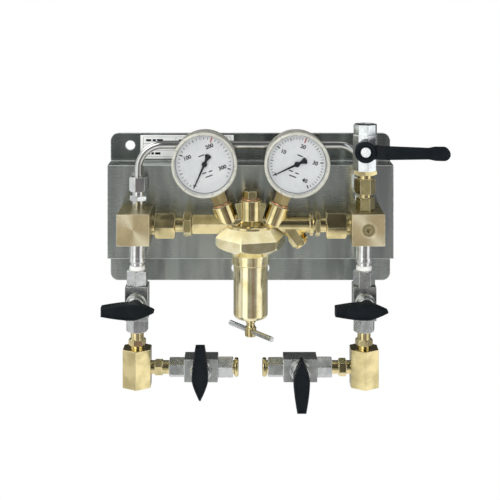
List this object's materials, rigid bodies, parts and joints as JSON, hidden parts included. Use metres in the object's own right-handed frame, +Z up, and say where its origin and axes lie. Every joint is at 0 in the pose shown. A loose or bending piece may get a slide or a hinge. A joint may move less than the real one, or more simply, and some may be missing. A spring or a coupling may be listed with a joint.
{
  "type": "gas pressure reducing panel",
  "caption": "Wall panel gas pressure reducing station: brass regulator with gauges between square blocks, with small ball valves, tees and a crossover tube on a steel hat-section plate.",
  "frame": {"origin": "midway between the two upper wall fixing holes, on the wall plane behind the back plate", "axes": "+X to the right seen from the front, -Y out of the wall towards the user, +Z up"},
  "size_m": [0.3293, 0.0972, 0.2693],
  "materials": {
    "plate_steel": "brushed, satin",
    "label_white": "matt printed film",
    "zinc": "bright zinc plated",
    "brass_satin": "machined, satin",
    "brass_polished": "polished",
    "brass_dark": "dull, machined",
    "bronze": "sintered or drawn bronze",
    "copper": "dull copper",
    "spring_steel": "drawn wire",
    "steel_bright": "polished stainless steel",
    "steel_satin": "satin nickel plated",
    "rubber_grey": "matt",
    "ptfe": "matt",
    "case_champagne": "satin lacquer",
    "dial_white": "matt white",
    "window_clear": "clear, polished",
    "pointer_black": "matt black",
    "handle_black": "moulded, fine grain"
  },
  "bodies": {
    "panel": {"back_plate": "plate_steel", "data_label": "label_white", "block_screws": "zinc", "inlet_block": "brass_satin", "outlet_block": "brass_satin", "test_port_plug": "brass_polished", "union_nipples": "brass_polished", "union_nuts": "brass_polished", "union_tailpieces": "brass_polished", "inlet_filter": "bronze", "regulator_body": "brass_polished", "blanking_plug": "brass_polished", "valve_nozzle": "brass_satin", "closing_spring": "spring_steel", "valve_cap": "brass_polished", "sealing_washers": "copper", "diaphragm": "rubber_grey", "range_spring": "spring_steel", "bonnet": "brass_polished", "gauge_sockets": "brass_dark", "gauge_cases": "case_champagne", "gauge_movements": "brass_satin", "bourdon_tubes": "bronze", "gauge_dials": "dial_white", "gauge_windows": "window_clear", "gauge_bezels": "case_champagne", "crossover_tube": "steel_satin", "tube_nuts": "steel_bright", "tube_connectors": "steel_bright", "vent_adaptors": "brass_polished", "vent_valve_body": "steel_satin", "vent_end_piece": "steel_satin", "riser_connectors": "steel_bright", "sealing_rings": "ptfe", "valve_bodies": "steel_satin", "valve_end_pieces": "steel_satin", "gland_nuts": "steel_satin", "ball_seats": "ptfe", "tee_blocks": "brass_polished", "tee_nipples": "brass_polished", "branch_end_fittings": "brass_polished"},
    "diaphragm_stack": {"diaphragm_plate": "zinc", "valve_poppet": "steel_bright"},
    "button": {"spring_button": "brass_satin"},
    "screw": {"adjusting_screw": "brass_polished", "t_bar": "zinc"},
    "inlet_pointer": {"inlet_gauge_pointer": "pointer_black"},
    "outlet_pointer": {"outlet_gauge_pointer": "pointer_black"},
    "vent_handle": {"vent_ball_and_stem": "steel_bright", "vent_lever": "handle_black", "vent_lever_nut": "zinc"},
    "inlet_riser_valve": {"inlet_riser_ball_and_stem": "steel_bright", "inlet_riser_handle": "handle_black"},
    "inlet_branch_valve": {"inlet_branch_ball_and_stem": "steel_bright", "inlet_branch_handle": "handle_black"},
    "outlet_riser_valve": {"outlet_riser_ball_and_stem": "steel_bright", "outlet_riser_handle": "handle_black"},
    "outlet_branch_valve": {"outlet_branch_ball_and_stem": "steel_bright", "outlet_branch_handle": "handle_black"}
  },
  "joints": [
    {"name": "diaphragm_slide", "type": "slide", "parent": "panel", "child": "diaphragm_stack", "axis": [0, 0, 1], "range_m": [0, 0.0008], "deforming": ["diaphragm", "closing_spring"]},
    {"name": "button_slide", "type": "slide", "parent": "panel", "child": "button", "axis": [0, 0, 1], "range_m": [0, 0.0075], "deforming": ["range_spring"]},
    {"name": "screw_turn", "type": "hinge", "parent": "button", "child": "screw", "pos_m": [0, -0.05, -0.1495], "axis": [0, 0, 1], "range_deg": [0, 1800]},
    {"name": "inlet_pointer_turn", "type": "hinge", "parent": "panel", "child": "inlet_pointer", "pos_m": [-0.0444, -0.066, -0.0082], "axis": [0, 1, 0], "range_deg": [0, 270]},
    {"name": "outlet_pointer_turn", "type": "hinge", "parent": "panel", "child": "outlet_pointer", "pos_m": [0.0444, -0.066, -0.0082], "axis": [0, 1, 0], "range_deg": [0, 270]},
    {"name": "vent_lever_turn", "type": "hinge", "parent": "panel", "child": "vent_handle", "pos_m": [0.1105, -0.061, 0.0059], "axis": [0.0872, 0.9962, 0], "range_deg": [-90, 0]},
    {"name": "inlet_riser_turn", "type": "hinge", "parent": "panel", "child": "inlet_riser_valve", "pos_m": [-0.1105, -0.05, -0.1445], "axis": [0, 1, 0], "range_deg": [0, 90]},
    {"name": "outlet_riser_turn", "type": "hinge", "parent": "panel", "child": "outlet_riser_valve", "pos_m": [0.1105, -0.05, -0.1445], "axis": [0, 1, 0], "range_deg": [0, 90]},
    {"name": "inlet_branch_turn", "type": "hinge", "parent": "panel", "child": "inlet_branch_valve", "pos_m": [-0.048, -0.05, -0.2088], "axis": [0, 1, 0], "range_deg": [0, 90]},
    {"name": "outlet_branch_turn", "type": "hinge", "parent": "panel", "child": "outlet_branch_valve", "pos_m": [0.048, -0.05, -0.2088], "axis": [0, 1, 0], "range_deg": [0, 90]}
  ],
  "couplings": [
    {"joint": "screw_turn", "follows": "button_slide", "rad_per_m": 4188.8}
  ]
}
